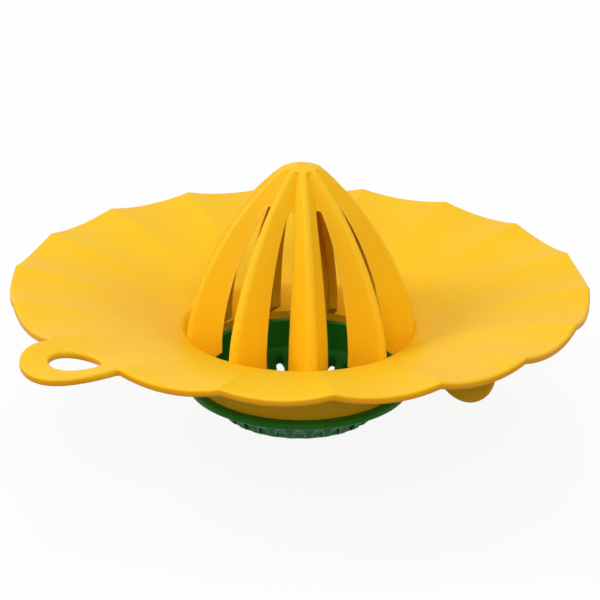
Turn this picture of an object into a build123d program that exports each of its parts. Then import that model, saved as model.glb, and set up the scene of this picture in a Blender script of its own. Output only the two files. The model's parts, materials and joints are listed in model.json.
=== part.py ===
from build123d import *
import os
from math import cos, radians, sin, sqrt, tan

# A hand citrus squeezer in two mouldings. The squeezer is a fluted saucer with a slit reamer on it,
# a collar under it, a hanging loop and two stop fins. The strainer pushes up into the collar.
# Millimetres. The axis is Z, z = 0 is the strainer's resting face and the loop points along -X.

# Collar
fit_clearance = 0.3
bore_radius = 28.6
collar_wall = 2.2
collar_draft = 1.2
collar_depth = 16.9
bore_depth = 10.1

# Strainer
bowl_inset = 0.3
bowl_taper = 4.8
bowl_height = 7.5
bowl_wall = 1.6
bowl_floor_round = 1.5
flange_overhang = 2.7
flange_thickness = 2.2
flange_round = 0.9
spigot_length = 7.9
spigot_wall = 1.6
spigot_round = 0.4
slot_count = 28
slot_width = 2.7
slot_inset = 0.6
slot_rise = 2.2
slot_round = 1.2

# Saucer
rim_radius = 85.0
lip_flare = 6.0
lip_round = 3.0
saucer_wall = 2.3
saucer_rise = 13.9
rim_slope = 0.10
rim_round = 0.8
petal_count = 18
flute_depth = 1.9
flute_lead = 4.6
flute_bow = 1.8

# Hanging loop
loop_inset = 0.4
loop_offset = 1.94
loop_hole_radius = 7.0
loop_hole_offset = 1.5

# Stop fins
fin_radius = 11.0
fin_inset = 21.6
fin_depth = 14.9
fin_thickness = 2.2
fin_angle = 90

# Reamer
rib_count = 9
reamer_height = 50.3
crest_inset = 0.4
crest_base_width = 3.4
crest_tip_width = 1.6
crest_overshoot = 1.9
crest_bow = 1.54
crest_fullness = 0.74
flank_angle = 25.7
rib_wall = 2.0
channel_tip_width = 1.2
channel_share = 0.74
cap_radius = 4.9
cap_drop = 0.9
cap_thickness = 3.8
slit_drop = 11.1
valley_wall = 1.6
core_step = 2.9
core_peak_drop = 2.6
core_bow = 1.5
core_fullness = 0.6

# Radii that follow from the sizes above
spigot_radius = bore_radius - fit_clearance
bowl_top_radius = spigot_radius - bowl_inset
bowl_floor_radius = bowl_top_radius - bowl_taper
slot_inner_radius = bowl_floor_radius - slot_inset
slot_outer_radius = bowl_floor_radius + slot_rise
flange_radius = bore_radius + collar_wall + flange_overhang
lip_radius = bore_radius + lip_flare
flute_start_radius = lip_radius - flute_lead
fin_reach = rim_radius - fin_inset
crest_radius = lip_radius - crest_inset
core_radius = bore_radius - core_step

# Levels and angles that follow
seat_z = bowl_height + flange_thickness
lip_z = seat_z + collar_depth
bore_top_z = seat_z + bore_depth
tip_z = lip_z + reamer_height
crest_height = reamer_height + crest_overshoot
slit_height = reamer_height - slit_drop
dome_height = reamer_height - cap_thickness
core_peak = reamer_height - core_peak_drop
half_petal = 180 / petal_count
half_rib = 180 / rib_count
half_slot = 180 / slot_count
flank_slope = tan(radians(flank_angle))
rib_phase = 180 + half_petal

# The loop follows the rim and the width of its petal
crease_half_width = rim_radius * sin(radians(half_petal))
loop_radius = crease_half_width - loop_inset
loop_centre = rim_radius + loop_offset
loop_reach = loop_centre + loop_radius
loop_hole_centre = rim_radius + loop_hole_offset

# Allowances for cutting and joining, not sizes of the finished object
overlap = 0.5
match = 0.05
blank_margin = 3.0
blank_widening = 1.15
petal_stations = 7
rib_levels = (0, 0.12, 0.25, 0.4, 0.55, 0.7, 0.82, 0.9, 0.96, 1)
channel_levels = (0, 0.2, 0.4, 0.6, 0.8, 1)
core_levels = (0, 0.25, 0.5, 0.75, 1)


def middle_height(radius):
    """Top of the saucer along the middle of a petal: steep at the lip, nearly level at the rim."""
    span = rim_radius - lip_radius
    bow = (saucer_rise - rim_slope * span) / span ** 2
    inward = rim_radius - radius
    return lip_z + saucer_rise - rim_slope * inward - bow * inward ** 2


def crease_height(radius):
    """Top of the saucer along the crease between two petals, which fades out towards the lip."""
    fade = (radius - flute_start_radius) / (rim_radius - flute_start_radius)
    return middle_height(radius) + flute_depth * fade ** flute_bow


def crest_reach(h):
    """Radius of a rib's crest at height h over the lip."""
    return crest_radius * (1 - (max(h, 0) / crest_height) ** crest_bow) ** crest_fullness


def core_reach(h):
    """Radius of the hollow inside the ribs at height h over the lip, up to the top of the slits."""
    return core_radius * (1 - (max(h, 0) / core_peak) ** core_bow) ** core_fullness


def turned(profile):
    """Solid of revolution of a closed (radius, z) outline given as edges."""
    return revolve(make_face(Plane.XZ * Curve(profile)), Axis.Z, 360)


def petal_station(reach):
    """Cross section of a petal, an arc sagging between its creases, square to the radius."""
    crease_reach = reach / cos(radians(half_petal))
    half_width = reach * tan(radians(half_petal))
    middle = middle_height(reach)
    sag = crease_height(crease_reach) - middle
    arc_radius = (half_width ** 2 + sag ** 2) / (2 * sag)
    side = reach * tan(radians(half_petal * blank_widening))
    edge = middle + arc_radius - sqrt(arc_radius ** 2 - side ** 2)
    outline = [
        ThreePointArc((-side, edge), (0, middle), (side, edge)),
        Line((side, edge), (side, edge - saucer_wall)),
        ThreePointArc((side, edge - saucer_wall), (0, middle - saucer_wall), (-side, edge - saucer_wall)),
        Line((-side, edge - saucer_wall), (-side, edge)),
    ]
    return Plane((reach, 0, 0), x_dir=(0, 1, 0), z_dir=(1, 0, 0)) * make_face(outline)


def petal_blank():
    """One long petal, wider and longer than any that is cut from it."""
    first = lip_radius - blank_margin
    step = (loop_reach + blank_margin - first) / (petal_stations - 1)
    return loft([petal_station(first + step * i) for i in range(petal_stations)])


def petal_plan():
    """Plan of one petal: a slice of the rim circle."""
    x = rim_radius * cos(radians(half_petal))
    y = crease_half_width
    outline = [Line((0, 0), (x, -y)), ThreePointArc((x, -y), (rim_radius, 0), (x, y)), Line((x, y), (0, 0))]
    return make_face(outline)


def loop_plan():
    """Plan of the petal that carries the hanging loop, a ring almost as wide as the petal itself."""
    plan = petal_plan() + Pos(loop_centre, 0) * Circle(loop_radius)
    return plan - Pos(loop_hole_centre, 0) * Circle(loop_hole_radius)


def funnel_space():
    """The open cone inside the lip, down to the collar's bore."""
    slope = (lip_radius - bore_radius) / (lip_z - bore_top_z)
    above = lip_z + saucer_rise
    return turned(Polyline(
        (0, seat_z), (bore_radius, seat_z), (bore_radius, bore_top_z),
        (lip_radius + slope * saucer_rise, above), (0, above), close=True).edges())


def is_outline(edge):
    """True for the edges that run round a petal's outer wall or its hole, above or below."""
    middle = edge.position_at(0.5)
    upright = abs(edge.tangent_at(0.5).Z) > 0.9
    on_crease = abs(abs(middle.Y) - middle.X * tan(radians(half_petal))) < match
    return middle.X > lip_radius + lip_round and not upright and not on_crease


def is_lip(edge):
    """True for the edge where a petal's top turns down into the funnel."""
    middle = edge.position_at(0.5)
    return abs(middle.X - lip_radius) < match and abs(middle.Y) < match and abs(middle.Z - lip_z) < match


def petal(plan):
    """One finished petal with rounded edges, cut to its plan."""
    body = petal_blank() & extrude(plan, lip_z + 3 * saucer_rise)
    body = body - funnel_space()
    body = fillet([e for e in body.edges() if is_outline(e)], rim_round)
    return fillet([e for e in body.edges() if is_lip(e)], lip_round)


def petals():
    """All the petals in a ring, the first one with the loop, along -X."""
    plain = petal(petal_plan())
    ring = [Rot(0, 0, 180 + 2 * half_petal * i) * plain for i in range(1, petal_count)]
    return [Rot(0, 0, 180) * petal(loop_plan())] + ring


def collar():
    """The funnel under the lip and the drafted collar that the strainer pushes into."""
    slope = (lip_radius - bore_radius) / (lip_z - bore_top_z)
    foot_radius = bore_radius + collar_wall
    neck_z = bore_top_z - saucer_wall / 4
    neck_radius = foot_radius + (neck_z - seat_z) * tan(radians(collar_draft))
    root_radius = lip_radius + saucer_wall
    inset = saucer_wall / 2
    return turned(Polyline(
        (bore_radius, seat_z), (foot_radius, seat_z), (neck_radius, neck_z),
        (root_radius, middle_height(root_radius) - inset), (lip_radius - inset * slope, lip_z - inset),
        (bore_radius, bore_top_z), close=True).edges())


def rib_shape(h):
    """Crest radius, shoulder radius and shoulder half width of a rib at height h over the lip."""
    rise = max(h, 0) / reamer_height
    crest = crest_reach(h)
    half_width = (crest_base_width + (crest_tip_width - crest_base_width) * rise) / 2
    return crest, crest - half_width / 2, half_width


def rib_station(h):
    """Level cross section of one rib: a rounded crest and two straight flanks that meet the next rib's."""
    crest, shoulder, half_width = rib_shape(h)
    back = -blank_margin
    back_half = half_width + (shoulder - back) * flank_slope
    outline = [
        ThreePointArc((shoulder, -half_width), (crest, 0), (shoulder, half_width)),
        Line((shoulder, half_width), (back, back_half)),
        Line((back, back_half), (back, -back_half)),
        Line((back, -back_half), (shoulder, -half_width)),
    ]
    return Pos(0, 0, lip_z + h) * make_face(outline)


def valley_reach(h):
    """Radius of the valley between two ribs at height h over the lip."""
    _, shoulder, half_width = rib_shape(h)
    middle = (half_width + shoulder * flank_slope) / (tan(radians(half_rib)) + flank_slope)
    return middle / cos(radians(half_rib))


def channel_station(h):
    """Level cross section of the channel that cores out a rib, within the bore it is pulled through."""
    _, shoulder, half_width = rib_shape(h)
    level_wall = rib_wall / cos(radians(flank_angle))
    tip = shoulder - (channel_tip_width / 2 + level_wall - half_width) / flank_slope
    tip = min(tip, bore_radius - overlap)
    inner = core_reach(h) - blank_margin
    tip_half = half_width + (shoulder - tip) * flank_slope - level_wall
    inner_half = half_width + (shoulder - inner) * flank_slope - level_wall
    outline = Polyline(
        (inner, -inner_half), (tip, -tip_half), (tip, tip_half), (inner, inner_half), close=True)
    return Pos(0, 0, lip_z + h) * make_face(outline.edges())


def channel():
    """The core of one rib, open to the bore below and to the hollow inside."""
    foot = bore_top_z - lip_z - overlap
    levels = [foot] + [share * channel_share * reamer_height for share in channel_levels]
    return loft([channel_station(h) for h in levels])


def rib():
    """One rib from inside the funnel wall to the tip, as a slice of the solid reamer."""
    foot = bore_top_z - lip_z - overlap
    levels = [foot] + [share * reamer_height for share in rib_levels]
    blank = loft([rib_station(h) for h in levels])
    far = 2 * lip_radius
    side = far * tan(radians(half_rib))
    slice_plan = make_face(Polyline((0, 0), (far, -side), (far, side), close=True).edges())
    return blank & Pos(0, 0, lip_z + foot) * extrude(slice_plan, reamer_height - foot)


def reamer_room():
    """All that lies inside the funnel wall or above the lip, under the domed cap and its skirt."""
    cap_z = tip_z - cap_drop
    far = 2 * lip_radius
    cap_sphere = (cap_radius ** 2 + cap_drop ** 2) / (2 * cap_drop)
    halfway = cap_radius / 2
    halfway_z = tip_z - cap_sphere + sqrt(cap_sphere ** 2 - halfway ** 2)
    skirt_slope = cap_radius / (cap_sphere - cap_drop)
    below = Polyline(
        (cap_radius, cap_z), (far, cap_z - (far - cap_radius) * skirt_slope), (far, lip_z),
        (lip_radius + overlap, lip_z), (bore_radius + overlap, bore_top_z), (bore_radius + overlap, seat_z),
        (0, seat_z), (0, tip_z))
    return turned([ThreePointArc((0, tip_z), (halfway, halfway_z), (cap_radius, cap_z))] + below.edges())


def core():
    """The hollow inside the ribs. It breaks through the valleys as slits, and a narrower dome closes it."""
    chamfer_z = bore_top_z + bore_radius - core_radius
    slit_z = lip_z + slit_height
    dome_z = lip_z + dome_height
    curve = [(core_reach(share * slit_height), lip_z + share * slit_height) for share in core_levels]
    above = Polyline(
        curve[-1], (valley_reach(slit_height) - valley_wall, slit_z),
        (valley_reach(dome_height) - valley_wall, dome_z), (0, dome_z), (0, seat_z), (bore_radius, seat_z),
        (bore_radius, bore_top_z), (core_radius, chamfer_z), (core_radius, lip_z))
    return turned(above.edges() + [Spline(*curve)])


def boss():
    """The round boss inside the cap, where the valleys run out."""
    return Pos(0, 0, tip_z - cap_thickness / 2) * Cylinder(cap_radius, cap_thickness)


def reamer():
    """The ribs round the axis, closed on top by the cap, hollow inside."""
    angles = [rib_phase + 2 * half_rib * i for i in range(rib_count)]
    one = rib()
    pocket = channel()
    ribs = [Rot(0, 0, angle) * one for angle in angles]
    pockets = [Rot(0, 0, angle) * pocket for angle in angles]
    body = ribs[0].fuse(*ribs[1:], boss()) & reamer_room()
    return body.cut(core(), *pockets)


def fin():
    """Half-round stop under a crease, drawn in the radial plane, its rim rounded."""
    inner = fin_reach - fin_radius
    outer = fin_reach + fin_radius
    inset = saucer_wall / 2
    bottom_z = crease_height(fin_reach) - fin_depth
    below = make_face(Polyline(
        (inner, bottom_z), (outer, bottom_z), (outer, crease_height(outer) - inset),
        (inner, crease_height(inner) - inset), close=True).edges())
    disc = Pos(fin_reach, bottom_z + fin_radius) * Circle(fin_radius)
    body = extrude(Plane.XZ * (disc & below), fin_thickness / 2, both=True)
    return fillet(body.edges().filter_by(GeomType.CIRCLE), rim_round)


def squeezer():
    """Petals, collar, reamer and both fins as one moulding."""
    first, *others = petals()
    fins = [Rot(0, 0, angle) * fin() for angle in (fin_angle, -fin_angle)]
    return first.fuse(*others, collar(), reamer(), *fins)


def strainer():
    """Slotted bowl, flange and spigot as one moulding."""
    spigot_bore = spigot_radius - spigot_wall
    slope = (bowl_top_radius - bowl_floor_radius) / bowl_height
    level_wall = bowl_wall * sqrt(1 + slope ** 2)
    inner_floor_radius = bowl_floor_radius + slope * bowl_wall - level_wall
    inner_top_z = bowl_wall + (spigot_bore - inner_floor_radius) / slope
    spigot_z = seat_z + spigot_length
    section = make_face(Polyline(
        (0, 0), (bowl_floor_radius, 0), (bowl_top_radius, bowl_height), (flange_radius, bowl_height),
        (flange_radius, seat_z), (spigot_radius, seat_z), (spigot_radius, spigot_z), (spigot_bore, spigot_z),
        (spigot_bore, inner_top_z), (inner_floor_radius, bowl_wall), (0, bowl_wall), close=True).edges())

    def rounded(face, test, size):
        return fillet([v for v in face.vertices() if test(v)], size)

    section = rounded(section, lambda v: abs(v.X - flange_radius) < 0.01, flange_round)
    section = rounded(section, lambda v: abs(v.Y - spigot_z) < 0.01, spigot_round)
    section = rounded(section, lambda v: v.Y < 0.01 and v.X > 1, bowl_floor_round)
    body = revolve(Plane.XZ * section, Axis.Z, 360)
    middle = (slot_inner_radius + slot_outer_radius) / 2
    slot = Pos(middle, 0) * Rectangle(slot_outer_radius - slot_inner_radius, slot_width)
    slot = rounded(slot, lambda v: v.X > middle, slot_round)
    cutter = extrude(slot, bowl_height)
    return body.cut(*[Rot(0, 0, half_slot * (2 * i + 1)) * cutter for i in range(slot_count)])


os.makedirs("parts", exist_ok=True)
for name, shape in (("squeezer", squeezer()), ("strainer", strainer())):
    export_step(shape, f"parts/{name}.step")
    print(name, "volume", round(shape.volume), "solids", len(shape.solids()), "valid", shape.is_valid)
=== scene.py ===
# %% [markdown]
# # A citrus squeezer in two plastic mouldings
# The real object is a wide fluted saucer with a slit reamer in its middle, and a green strainer that pushes
# up into the collar under it. Both shapes come finished from the CAD model, so this lesson is about looks:
# the camera, the studio, and plastic that reads as moulded plastic from a step away and from close by.
# Everything is in metres in the CAD frame. The axis is Z and the strainer rests on z = 0.

# %% Load the frame
import json
from math import radians

import bmesh
import bpy
from mathutils import Euler, Matrix, Vector

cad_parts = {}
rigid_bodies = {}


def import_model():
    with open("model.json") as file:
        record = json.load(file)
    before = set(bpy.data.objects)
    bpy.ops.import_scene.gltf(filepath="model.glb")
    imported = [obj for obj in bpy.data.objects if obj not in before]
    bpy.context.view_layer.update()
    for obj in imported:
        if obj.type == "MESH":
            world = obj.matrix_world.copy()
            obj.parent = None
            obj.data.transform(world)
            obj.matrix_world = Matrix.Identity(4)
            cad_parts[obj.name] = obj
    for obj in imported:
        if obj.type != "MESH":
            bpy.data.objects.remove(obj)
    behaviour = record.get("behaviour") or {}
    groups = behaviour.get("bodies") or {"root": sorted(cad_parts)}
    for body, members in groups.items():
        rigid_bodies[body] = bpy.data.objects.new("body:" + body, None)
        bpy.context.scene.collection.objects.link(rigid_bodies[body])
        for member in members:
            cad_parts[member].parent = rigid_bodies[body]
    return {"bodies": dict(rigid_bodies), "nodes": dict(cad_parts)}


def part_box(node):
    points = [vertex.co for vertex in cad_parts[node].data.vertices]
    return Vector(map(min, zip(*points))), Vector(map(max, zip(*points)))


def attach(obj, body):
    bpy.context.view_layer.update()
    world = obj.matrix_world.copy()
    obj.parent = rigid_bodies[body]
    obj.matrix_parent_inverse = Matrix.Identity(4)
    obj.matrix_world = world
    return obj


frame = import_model()
kept = set(frame["nodes"].values()) | set(frame["bodies"].values())
for spare in [thing for thing in bpy.data.objects if thing not in kept]:
    bpy.data.objects.remove(spare)
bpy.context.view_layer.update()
squeezer = frame["nodes"]["squeezer"]
strainer = frame["nodes"]["strainer"]

# %% [markdown]
# ## Camera
# The photograph was taken from a little above the saucer with a long lens, the loop to the left. The place
# and the lens were fitted to the creases round the rim: their spacing gives the distance, and how far the
# rim's ellipse opens gives the height. A tiny roll about the view axis levels the rim as in the photograph.
# The Standard view transform shows a colour about as it is written.

# %% Camera
camera_place = Vector((-0.4163, -0.4007, 0.2626))
camera_pitch = radians(68.47)
camera_heading = radians(-46.1)
camera_roll = radians(0.823)
lens_length_mm = 125.785
sensor_width_mm = 36.0
nearest_shown = 0.05
farthest_shown = 20.0

lens = bpy.data.cameras.new("photo_lens")
lens.lens = lens_length_mm
lens.sensor_width = sensor_width_mm
lens.clip_start = nearest_shown
lens.clip_end = farthest_shown
camera = bpy.data.objects.new("photo_camera", lens)
bpy.context.scene.collection.objects.link(camera)
aim = Euler((camera_pitch, 0, camera_heading)).to_matrix().to_4x4()
roll = Matrix.Rotation(camera_roll, 4, "Z")
camera.matrix_world = Matrix.Translation(camera_place) @ aim @ roll
bpy.context.scene.camera = camera
bpy.context.scene.view_settings.view_transform = "Standard"
print("camera", round(camera_place.length, 3), "m from the axis foot, lens", round(lens.lens, 1), "mm")

# %% [markdown]
# ## Small helpers for node trees
# A material is a graph of nodes. Written out node by node it is hard to read, so a few helpers add a node
# and set its sockets by name, with a plain value or with a link to another node's output.

# %% Nodes and sockets


def put(tree, node, name, value):
    """Set one input of a node, by a value or by a link. A name of digits is a place in the list."""
    socket = node.inputs[int(name)] if name.isdigit() else node.inputs[name]
    if isinstance(value, bpy.types.NodeSocket):
        tree.links.new(value, socket)
    else:
        socket.default_value = value


def put_all(tree, node, **sockets):
    """Set several inputs of a node, with _ for each blank in a name."""
    for name, value in sockets.items():
        put(tree, node, name.replace("_", " "), value)


def add(tree, kind, **sockets):
    """Add a node of a kind and set its inputs."""
    node = tree.nodes.new("ShaderNode" + kind)
    put_all(tree, node, **sockets)
    return node


print("socket helpers ready")

# %% [markdown]
# ## Arithmetic in a node tree
# Masks are made by arithmetic: two masks are multiplied to keep what they share, a range is stretched to go
# from 0 to 1, and a mask then mixes two colours. Each helper adds one node and gives its output.

# %% Arithmetic


def compute(tree, operation, first, second, clamp=False):
    """One step of arithmetic between two values."""
    node = add(tree, "Math")
    node.operation = operation
    node.use_clamp = clamp
    put(tree, node, "0", first)
    put(tree, node, "1", second)
    return node.outputs[0]


def times(tree, first, second):
    """The product of two values."""
    return compute(tree, "MULTIPLY", first, second)


def vector_step(tree, operation, first, second=(0, 0, 0)):
    """One step of arithmetic on vectors, with a Vector and a Value to choose from."""
    node = add(tree, "VectorMath")
    node.operation = operation
    put(tree, node, "0", first)
    put(tree, node, "1", second)
    return node.outputs


def spread(tree, value, low, high, to_low=0.0, to_high=1.0):
    """Stretch the range low to high of a value onto another range, clamped."""
    ranges = dict(From_Min=low, From_Max=high, To_Min=to_low, To_Max=to_high)
    return add(tree, "MapRange", Value=value, **ranges).outputs["Result"]


def between(tree, share, first, second):
    """A value that goes from first to second as a share goes from 0 to 1."""
    return spread(tree, share, 0.0, 1.0, first, second)


def tint(tree, share, first, second):
    """Mix two colours by a share."""
    node = add(tree, "Mix")
    node.data_type = "RGBA"
    put(tree, node, "0", share)
    put(tree, node, "6", first)
    put(tree, node, "7", second)
    return node.outputs[2]


print("arithmetic helpers ready")

# %% [markdown]
# ## Where a face is and which way it looks
# The object is round, so distance from the axis and direction from the axis say more than X and Y do. Both
# come from Object coordinates, and the direction of a face from its own normal in the object's frame. None
# of them depends on the camera, so a mask made from them stays on the piece in every view and every pose.

# %% Place and facing


def off_axis(tree, place):
    """The step from the axis out to a place, level with it."""
    return add(tree, "Mapping", Vector=place, Scale=(1, 1, 0)).outputs[0]


def from_axis(tree, place):
    """The distance from the axis."""
    return vector_step(tree, "LENGTH", off_axis(tree, place))["Value"]


def height_of(tree, vector):
    """The upright part of a place or of a normal."""
    return add(tree, "SeparateXYZ", Vector=vector).outputs["Z"]


def face_normal(tree):
    """The way a face looks, in the object's own frame."""
    return add(tree, "TexCoord").outputs["Normal"]


def facing_out(tree, place):
    """How far a face looks away from the axis and down: above 0 on outer faces, below 0 on inner ones."""
    away = vector_step(tree, "NORMALIZE", off_axis(tree, place))["Vector"]
    normal = face_normal(tree)
    across = vector_step(tree, "DOT_PRODUCT", normal, away)["Value"]
    return compute(tree, "SUBTRACT", across, height_of(tree, normal))


print("place and facing helpers ready")

# %% [markdown]
# ## Node groups
# Both plastics share grain, drift of tone, rubbed edges and scuffs. Each of these is built once as a node
# group with named sockets, and then placed in a material with that material's own values.

# %% Group helpers


def start_group(name, inputs, outputs):
    """A new shader node group: inputs are (name, kind, default), outputs are (name, kind)."""
    group = bpy.data.node_groups.new(name, "ShaderNodeTree")
    for label, kind, default in inputs:
        socket = group.interface.new_socket(label, in_out="INPUT", socket_type="NodeSocket" + kind)
        if default is not None:
            socket.default_value = default
    for label, kind in outputs:
        group.interface.new_socket(label, in_out="OUTPUT", socket_type="NodeSocket" + kind)
    return group, group.nodes.new("NodeGroupInput").outputs, group.nodes.new("NodeGroupOutput")


def use_group(tree, group, **sockets):
    """Place a node group in a tree, set its inputs and give its outputs."""
    node = add(tree, "Group")
    node.node_tree = group
    put_all(tree, node, **sockets)
    return node.outputs


print("group helpers ready")

# %% [markdown]
# ## Grain of a spark-eroded mould
# Plastic takes the skin of its mould. A spark-eroded mould leaves a fine, even pebble that kills the mirror
# shine and keeps fingerprints from showing. It could be sculpted, but at a fraction of a millimetre that
# would need millions of faces, so it is a height for a bump: soft noise for the swell and small cells for
# the pits.

# %% Mould grain group
pit_range = (0.15, 0.75)
swell_part = 0.6
pit_part = 0.4

mould_grain, feed, result = start_group(
    "mould_grain",
    [("Place", "Vector", None), ("Cells", "Float", 2200.0)],
    [("Height", "Float"), ("Pits", "Float")])
swell = add(mould_grain, "TexNoise", Vector=feed["Place"], Scale=feed["Cells"], Detail=2.0, Roughness=0.55)
cells = add(mould_grain, "TexVoronoi", Vector=feed["Place"], Scale=feed["Cells"], Randomness=1.0)
pits = spread(mould_grain, cells.outputs["Distance"], *pit_range)
grain_height = compute(mould_grain, "ADD", times(mould_grain, swell.outputs[0], swell_part),
                       times(mould_grain, pits, pit_part))
put_all(mould_grain, result, Height=grain_height, Pits=pits)
print("mould_grain nodes", len(mould_grain.nodes))

# %% [markdown]
# ## Slow drift of tone
# Pigment is never mixed quite evenly and walls cool at different rates, so a moulded face drifts a little in
# tone and in shine over a few centimetres. Large noise, pulled out of shape, does that without spots.

# %% Tone drift group
drift_range = (0.32, 0.68)

tone_drift, feed, result = start_group(
    "tone_drift", [("Place", "Vector", None), ("Swirls", "Float", 22.0)], [("Tone", "Float")])
drift = add(tone_drift, "TexNoise", Vector=feed["Place"], Scale=feed["Swirls"], Detail=3.0, Roughness=0.45,
            Distortion=0.6)
put(tone_drift, result, "Tone", spread(tone_drift, drift.outputs[0], *drift_range))
print("tone_drift nodes", len(tone_drift.nodes))

# %% [markdown]
# ## Rubbed edges and painted edge highlights
# Edges are where a moulding is touched, stacked and washed, so they turn paler. The pale colour that the
# materials put on this mask is also a painted highlight, for the light that edges and crests catch. A ray
# cast inwards from the surface, the inside form of ambient occlusion, meets another face within a short way
# only near an edge or in a thin wall, which is a mask that follows the real geometry. Noise breaks it up,
# because wear is never an even outline. The same group rounds the shading of sharp edges a little, since no
# moulding has a truly sharp one.

# %% Rubbed edge group
open_range = (0.35, 0.95)
patch_range = (0.3, 0.6)
patch_least = 0.35
edge_rays = 8
round_rays = 6

edge_wear_and_highlight, feed, result = start_group(
    "edge_wear_and_highlight",
    [("Place", "Vector", None), ("Width", "Float", 0.0006), ("Round", "Float", 0.0003)],
    [("Edge", "Float"), ("Normal", "Vector")])
inward = add(edge_wear_and_highlight, "AmbientOcclusion", Distance=feed["Width"])
inward.inside = True
inward.only_local = True
inward.samples = edge_rays
near_edge = spread(edge_wear_and_highlight, inward.outputs["AO"], *open_range, 1.0, 0.0)
breakup = add(edge_wear_and_highlight, "TexNoise", Vector=feed["Place"], Scale=420.0, Detail=4.0, Roughness=0.6)
patchy = spread(edge_wear_and_highlight, breakup.outputs[0], *patch_range, patch_least, 1.0)
eased = add(edge_wear_and_highlight, "Bevel", Radius=feed["Round"])
eased.samples = round_rays
put_all(edge_wear_and_highlight, result, Edge=times(edge_wear_and_highlight, near_edge, patchy), Normal=eased.outputs[0])
print("edge_wear_and_highlight nodes", len(edge_wear_and_highlight.nodes))

# %% [markdown]
# ## Turning scuffs
# Fruit is turned on the reamer and the strainer is twisted in its collar, so the finest scratches run round
# the axis. Noise is read in polar coordinates, stretched along the angle, and only its high ridges are kept.

# %% Turning scuff group
strokes_per_radian = 2.2
ridge_range = (0.58, 0.72)

turning_scuff, feed, result = start_group(
    "turning_scuff", [("Place", "Vector", None), ("Lines", "Float", 900.0)], [("Scuff", "Float")])
axes = add(turning_scuff, "SeparateXYZ", Vector=feed["Place"]).outputs
angle = compute(turning_scuff, "ARCTAN2", axes["Y"], axes["X"])
polar = add(turning_scuff, "CombineXYZ",
            X=times(turning_scuff, angle, strokes_per_radian),
            Y=times(turning_scuff, from_axis(turning_scuff, feed["Place"]), feed["Lines"]),
            Z=times(turning_scuff, axes["Z"], feed["Lines"]))
lines = add(turning_scuff, "TexNoise", Vector=polar.outputs[0], Scale=1.0, Detail=3.0, Roughness=0.6)
put(turning_scuff, result, "Scuff", spread(turning_scuff, lines.outputs[0], *ridge_range))
print("turning_scuff nodes", len(turning_scuff.nodes))

# %% [markdown]
# ## A moulded plastic
# Both materials start the same way: a Principled shader, Object coordinates for the patterns, and the grain
# as a bump with a real depth. What is the same all over a surface, such as the index of refraction, is set
# on the shader itself.

# %% Material helpers
plastic_ior = 1.49
scatter_depth = 0.0012


def start_material(name):
    """A material with a Principled shader, its node tree, and Object coordinates to read patterns at."""
    material = bpy.data.materials.new(name)
    material.use_nodes = True
    tree = material.node_tree
    return material, tree, tree.nodes["Principled BSDF"], add(tree, "TexCoord").outputs["Object"]


def relief(tree, height, depth, normal):
    """A height as a bump of a depth in metres, on top of a normal."""
    return add(tree, "Bump", Height=height, Normal=normal, Distance=depth, Strength=1.0).outputs[0]


print("material helpers ready")

# %% [markdown]
# ## Yellow of the squeezer
# Polypropylene in a warm citrus yellow. The two main yellows are close, and the pits of the grain are a
# little deeper. Fruit and hands rub the upper edges, and the pale outlines there are also a painted
# highlight:
# they leave out edges that look down because the lamps light the crests from above. The outer face of the
# lip, and less so the undersides, are painted a deeper orange: a painted shade for faces that look away
# from the lamps.

# %% Yellow colours
citrus = (0.95, 0.540, 0.006, 1)
citrus_light = (0.97, 0.570, 0.009, 1)
# Painted shade: a deeper orange for the lip's outer face and the undersides.
citrus_painted_shade = (0.97, 0.415, 0.001, 1)
citrus_pit = (0.86, 0.42, 0.002, 1)
# Painted highlight and wear: a pale yellow for rubbed upper edges and rib crests.
citrus_rubbed_highlight = (0.98, 0.68, 0.10, 1)
pit_share = 0.10
rub_highlight_share = 0.20
lip_range = (0.074, 0.079)
lip_facing = (0.2, 0.7)
under_facing = (-0.35, 0.05)
under_share = 0.5


def painted_shade_faces(tree, place):
    """Mask of the painted orange shade: the lip's outer face, and more weakly the undersides."""
    outer = spread(tree, facing_out(tree, place), *lip_facing)
    lip = times(tree, outer, spread(tree, from_axis(tree, place), *lip_range))
    under = spread(tree, height_of(tree, face_normal(tree)), *under_facing, under_share, 0.0)
    return compute(tree, "MAXIMUM", lip, under)


def yellow_colour(tree, place, tone, pits, rubbed_and_highlit):
    """Citrus yellow that drifts, with painted orange shade on the lip and undersides, and a pale colour on
    rubbed upper edges that is wear and painted highlight.
    """
    colour = tint(tree, tone, citrus, citrus_light)
    colour = tint(tree, painted_shade_faces(tree, place), colour, citrus_painted_shade)
    colour = tint(tree, times(tree, pits, pit_share), colour, citrus_pit)
    return tint(tree, times(tree, rubbed_and_highlit, rub_highlight_share), colour, citrus_rubbed_highlight)


print("yellows", citrus[:3], "to", citrus_light[:3])

# %% [markdown]
# ## Yellow plastic
# The plastic is satin and slightly translucent. A little subsurface scattering softens the shading by a
# millimetre or so. Drift and scuffs move the roughness by small amounts, as on a new piece that has only
# been handled, and the rubbed edges get a thin coat of gloss. The gate mark on the tip uses the same
# plastic with a finer grain, so the size of the grain is given when the material is made.

# %% Yellow plastic
upper_facing = (-0.3, 0.2)
satin_range = (0.44, 0.50)
rub_polish = 0.06
rub_gloss = 0.4
scuff_dulling = 0.05
scuff_cut = 0.15
yellow_grain_depth = 0.000026


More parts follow.
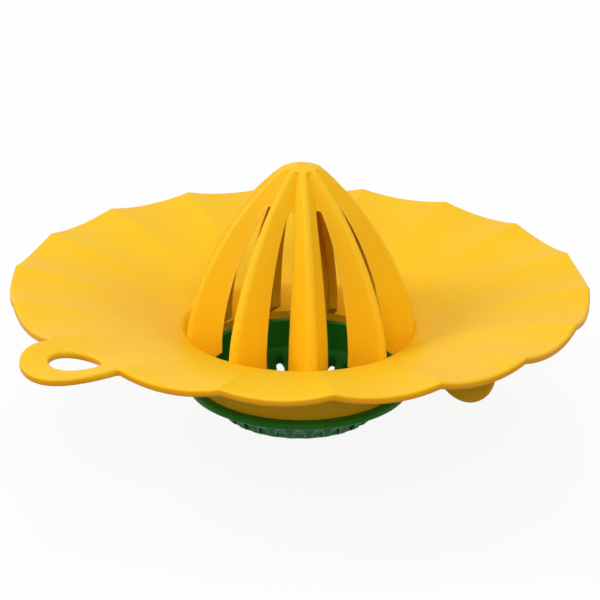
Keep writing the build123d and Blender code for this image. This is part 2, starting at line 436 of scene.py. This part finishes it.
def yellow_plastic(name, cells):
    """Satin yellow polypropylene with a grain of so many cells in a metre."""
    material, tree, shader, place = start_material(name)
    grain = use_group(tree, mould_grain, Place=place, Cells=cells)
    tone = use_group(tree, tone_drift, Place=place, Swirls=24.0)["Tone"]
    edge = use_group(tree, edge_wear_and_highlight, Place=place, Width=0.0010, Round=0.0002)
    scuff = use_group(tree, turning_scuff, Place=place, Lines=700.0)["Scuff"]
    upper = spread(tree, height_of(tree, face_normal(tree)), *upper_facing)
    # Upper edges: rubbed wear, and where the pale painted highlight goes on the crests.
    rubbed_and_highlit = times(tree, edge["Edge"], upper)
    shine = between(tree, tone, *satin_range)
    shine = compute(tree, "SUBTRACT", shine, times(tree, rubbed_and_highlit, rub_polish))
    shine = compute(tree, "ADD", shine, times(tree, scuff, scuff_dulling), clamp=True)
    height = compute(tree, "SUBTRACT", grain["Height"], times(tree, scuff, scuff_cut))
    put_all(tree, shader,
            Base_Color=yellow_colour(tree, place, tone, grain["Pits"], rubbed_and_highlit),
            Roughness=shine,
            Normal=relief(tree, height, yellow_grain_depth, edge["Normal"]),
            Coat_Weight=times(tree, rubbed_and_highlit, rub_gloss),
            Coat_Roughness=0.28,
            IOR=plastic_ior,
            Specular_IOR_Level=0.18,
            Subsurface_Weight=0.15,
            Subsurface_Radius=(1.0, 0.8, 0.3),
            Subsurface_Scale=scatter_depth)
    return material


yellow = yellow_plastic("yellow_plastic_satin", 2400.0)
squeezer.material_slots[0].material = yellow
print("yellow plastic nodes", len(yellow.node_tree.nodes))

# %% [markdown]
# ## Green of the strainer
# The strainer is a deep leaf green. Its flange and spigot are smooth enough to carry a soft highlight, but
# the slotted bowl is coarser outside: that half of the mould is rougher, so it looks paler and dusty. The
# inside of the bowl and the walls of the slots are painted a deeper green, a painted shade for the hollow.
# Two things tell the faces apart: the height over the resting face, with a soft change at the underside of
# the flange, and whether a face looks away from the axis and down, or towards the axis and up. The edges of
# the slots are the thinnest on the piece, and the light they catch is painted on as fine pale outlines, a
# painted highlight, with weaker ones on the flange.

# %% Green colours
leaf = (0.018, 0.215, 0.012, 1)
leaf_light = (0.025, 0.240, 0.018, 1)
# Painted shade: a deeper green for the inside of the bowl and the walls of the slots.
leaf_painted_shade = (0.010, 0.150, 0.008, 1)
dusty = (0.085, 0.350, 0.145, 1)
dusty_pit = (0.038, 0.230, 0.078, 1)
# Painted highlight: pale outlines on the edges of the slots, and weaker ones on the flange's edges.
slot_painted_highlight = (0.42, 0.66, 0.50, 1)
painted_shade_share = 0.8
dusty_share = 0.8
plain_highlight_share = 0.25
bowl_top = 0.0072
bowl_blend = 0.0006
outside_facing = (0.25, 0.55)


def bowl_faces(tree, place):
    """Masks of the bowl's coarse outside, and of its inside with the walls of the slots, which get painted
    shade.
    """
    level = height_of(tree, place)
    low = spread(tree, level, bowl_top - bowl_blend, bowl_top + bowl_blend, 1.0, 0.0)
    coarse = times(tree, low, spread(tree, facing_out(tree, place), *outside_facing))
    return coarse, compute(tree, "SUBTRACT", low, coarse)


def green_colour(tree, tone, pits, edge, coarse, shaded_inside):
    """Leaf green with painted shade inside the bowl, dusty outside it, and pale outlines on the bowl's edges
    as painted highlights.
    """
    colour = tint(tree, tone, leaf, leaf_light)
    colour = tint(tree, times(tree, shaded_inside, painted_shade_share), colour, leaf_painted_shade)
    colour = tint(tree, times(tree, coarse, dusty_share), colour, tint(tree, pits, dusty, dusty_pit))
    # The pale outline is a painted highlight, full on the coarse bowl, weaker on the flange, none inside.
    outline = between(tree, coarse, plain_highlight_share, 1.0)
    outline = compute(tree, "SUBTRACT", outline, times(tree, shaded_inside, plain_highlight_share), clamp=True)
    return tint(tree, times(tree, outline, edge), colour, slot_painted_highlight)


print("greens", leaf[:3], "to", leaf_light[:3], "and", dusty[:3], "on the bowl up to", 1000 * bowl_top, "mm")

# %% [markdown]
# ## Green plastic
# Two sizes of the same grain lie over each other: a fine one all over, and a coarse one only where the mask
# says that the mould was rough. The same mask dulls the shine there.

# %% Green plastic
smooth_shine = 0.36
coarse_shine = 0.58
twist_dulling = 0.06
fine_part = 0.4
coarse_part = 1.6
green_grain_depth = 0.00003


def green_plastic(name):
    """Deep green polypropylene, satin on the flange and coarse on the bowl."""
    material, tree, shader, place = start_material(name)
    coarse, shaded_inside = bowl_faces(tree, place)
    fine_grain = use_group(tree, mould_grain, Place=place, Cells=2600.0)
    coarse_grain = use_group(tree, mould_grain, Place=place, Cells=1500.0)
    tone = use_group(tree, tone_drift, Place=place, Swirls=45.0)["Tone"]
    edge = use_group(tree, edge_wear_and_highlight, Place=place, Width=0.0009, Round=0.00015)
    scuff = use_group(tree, turning_scuff, Place=place, Lines=900.0)["Scuff"]
    shine = between(tree, coarse, smooth_shine, coarse_shine)
    shine = compute(tree, "ADD", shine, times(tree, scuff, twist_dulling), clamp=True)
    fine = times(tree, fine_grain["Height"], fine_part)
    rough = times(tree, times(tree, coarse_grain["Height"], coarse), coarse_part)
    height = compute(tree, "ADD", fine, rough)
    put_all(tree, shader,
            Base_Color=green_colour(tree, tone, coarse_grain["Pits"], edge["Edge"], coarse, shaded_inside),
            Roughness=shine,
            Normal=relief(tree, height, green_grain_depth, edge["Normal"]),
            IOR=plastic_ior,
            Specular_IOR_Level=0.1,
            Subsurface_Weight=0.08,
            Subsurface_Radius=(0.2, 1.0, 0.35),
            Subsurface_Scale=scatter_depth)
    return material


green = green_plastic("green_plastic_moulded")
strainer.material_slots[0].material = green
print("green plastic nodes", len(green.node_tree.nodes))

# %% [markdown]
# ## Gate mark on the tip
# A moulding is filled through a small gate, and on this one it sits on the tip of the reamer, where the
# fruit hides it. What is left is a thin raised ring. It is a small circle spun once round the axis, sunk by
# half of its thickness, so that it sits on the dome and doesn't float.

# %% Gate mark
ring_radius = 0.00105
ring_wire = 0.00016
ring_sides = 10
ring_steps = 48
dome_radius = 0.0138
ring_cells = 5200.0

tip_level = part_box("squeezer")[1].z
ring_level = tip_level - ring_radius ** 2 / (2 * dome_radius)
upright = Matrix.Translation((ring_radius, 0, ring_level)) @ Matrix.Rotation(radians(90), 4, "X")
shape = bmesh.new()
bmesh.ops.create_circle(shape, segments=ring_sides, radius=ring_wire, matrix=upright)
bmesh.ops.spin(shape, geom=shape.verts[:] + shape.edges[:], cent=(0, 0, 0), axis=(0, 0, 1), dvec=(0, 0, 0),
               angle=radians(360), steps=ring_steps, use_merge=True)
bmesh.ops.remove_doubles(shape, verts=shape.verts, dist=ring_wire / 20)
bmesh.ops.recalc_face_normals(shape, faces=shape.faces)
for face in shape.faces:
    face.smooth = True
ring_mesh = bpy.data.meshes.new("gate_mark")
shape.to_mesh(ring_mesh)
shape.free()
gate_mark = bpy.data.objects.new("gate_mark", ring_mesh)
bpy.context.scene.collection.objects.link(gate_mark)
gate_mark.data.materials.append(yellow_plastic("yellow_plastic_gate", ring_cells))
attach(gate_mark, "squeezer")
print("gate mark faces", len(ring_mesh.polygons), "top at", round(1000 * (ring_level + ring_wire), 2), "mm")

# %% [markdown]
# ## Studio floor
# The photograph is a product shot on white with no horizon. The floor is a wide disc. The photograph shows
# no ground under the piece, and the strainer pulls out downwards, so the floor lies just under the end of
# that travel.

# %% Floor disc
floor_level = -0.0125
floor_radius = 3.0
floor_corners = 96

shape = bmesh.new()
bmesh.ops.create_circle(shape, cap_ends=True, segments=floor_corners, radius=floor_radius)
floor_mesh = bpy.data.meshes.new("studio_floor")
shape.to_mesh(floor_mesh)
shape.free()
floor = bpy.data.objects.new("studio_floor", floor_mesh)
bpy.context.scene.collection.objects.link(floor)
floor.location.z = floor_level
print("floor of", len(floor_mesh.vertices), "corners at", 1000 * floor_level, "mm")

# %% [markdown]
# ## Paper of the floor
# What the camera sees of the floor is mostly plain white, by Light Path's Is Camera Ray, and gloss shows
# the same white. A share of lit paper stays in near the object, so the floor still takes its shadow, and
# fades into the white further out. Other rays meet darker paper, so that the floor throws little light up
# at the object. The back of the disc is clear, so that the underside can be looked at from below.

# %% Floor paper
plain_white = (1, 1, 1, 1)
paper_pale = (0.93, 0.93, 0.93, 1)
paper_paler = (0.97, 0.97, 0.97, 1)
paper_unseen = (0.22, 0.22, 0.22, 1)
paper_share = 0.10
paper_range = (0.25, 0.90)


def shows_studio(tree):
    """1 for rays that show the studio: the camera's own, and those through clear things or off gloss."""
    ray = add(tree, "LightPath").outputs
    shown = compute(tree, "MAXIMUM", ray["Is Camera Ray"], ray["Is Transmission Ray"])
    return compute(tree, "MAXIMUM", shown, ray["Is Glossy Ray"])


def mix_shaders(tree, share, first, second):
    """Mix two shaders by a share."""
    node = add(tree, "MixShader")
    put(tree, node, "0", share)
    put(tree, node, "1", first.outputs[0])
    put(tree, node, "2", second.outputs[0])
    return node


paper = bpy.data.materials.new("studio_paper")
paper.use_nodes = True
tree = paper.node_tree
tree.nodes.clear()
place = add(tree, "TexCoord").outputs["Object"]
shown = shows_studio(tree)
fibre = add(tree, "TexNoise", Vector=place, Scale=160.0, Detail=4.0, Roughness=0.6).outputs[0]
lit_colour = tint(tree, shown, paper_unseen, tint(tree, fibre, paper_pale, paper_paler))
lit_paper = add(tree, "BsdfDiffuse", Color=lit_colour)
white = add(tree, "Emission", Color=plain_white, Strength=1.0)
white_share = spread(tree, from_axis(tree, place), *paper_range, 1.0 - paper_share, 1.0)
front = mix_shaders(tree, times(tree, shown, white_share), lit_paper, white)
behind = add(tree, "NewGeometry").outputs["Backfacing"]
surface = mix_shaders(tree, behind, front, add(tree, "BsdfTransparent"))
put(tree, add(tree, "OutputMaterial"), "Surface", surface.outputs[0])
floor.data.materials.append(paper)
print("studio paper nodes", len(tree.nodes))

# %% [markdown]
# ## White all round
# The world is plain white where it shows, and a dimmer white where it lights the object, so the background
# stays white without washing the colours out.

# %% World
surround = 0.41

world = bpy.data.worlds.new("studio_white")
world.use_nodes = True
bpy.context.scene.world = world
tree = world.node_tree
tree.nodes.clear()
light = add(tree, "Background", Color=plain_white, Strength=surround)
plain = add(tree, "Background", Color=plain_white, Strength=1.0)
sky = mix_shaders(tree, shows_studio(tree), light, plain)
put(tree, add(tree, "OutputWorld"), "Surface", sky.outputs[0])
print("world lights the object at", surround)

# %% [markdown]
# ## Lamps
# Square area lamps stand in for softboxes: soft lights from the left, the front and above, and a weak one
# from the right. Their powers were found by rendering each lamp alone and weighing the pictures against the
# photograph.

# %% Lamps
lit_centre = Vector((0, 0, 0.035))
softbox_side = 0.5


def softbox(name, place, power):
    """A square area lamp that faces the object."""
    lamp = bpy.data.lights.new(name, "AREA")
    lamp.shape = "SQUARE"
    lamp.size = softbox_side
    lamp.energy = power
    box = bpy.data.objects.new(name, lamp)
    bpy.context.scene.collection.objects.link(box)
    towards = (lit_centre - Vector(place)).to_track_quat("-Z", "Y").to_matrix().to_4x4()
    box.matrix_world = Matrix.Translation(place) @ towards
    print(name, "power", power, "W")


softbox("key_softbox", place=(-0.62, 0.65, 0.67), power=4.4)
softbox("front_softbox", place=(-0.65, -0.62, 0.67), power=3.9)
softbox("top_softbox", place=(0, 0, 1.13), power=2.1)
softbox("fill_softbox", place=(0.62, -0.65, 0.67), power=1.2)
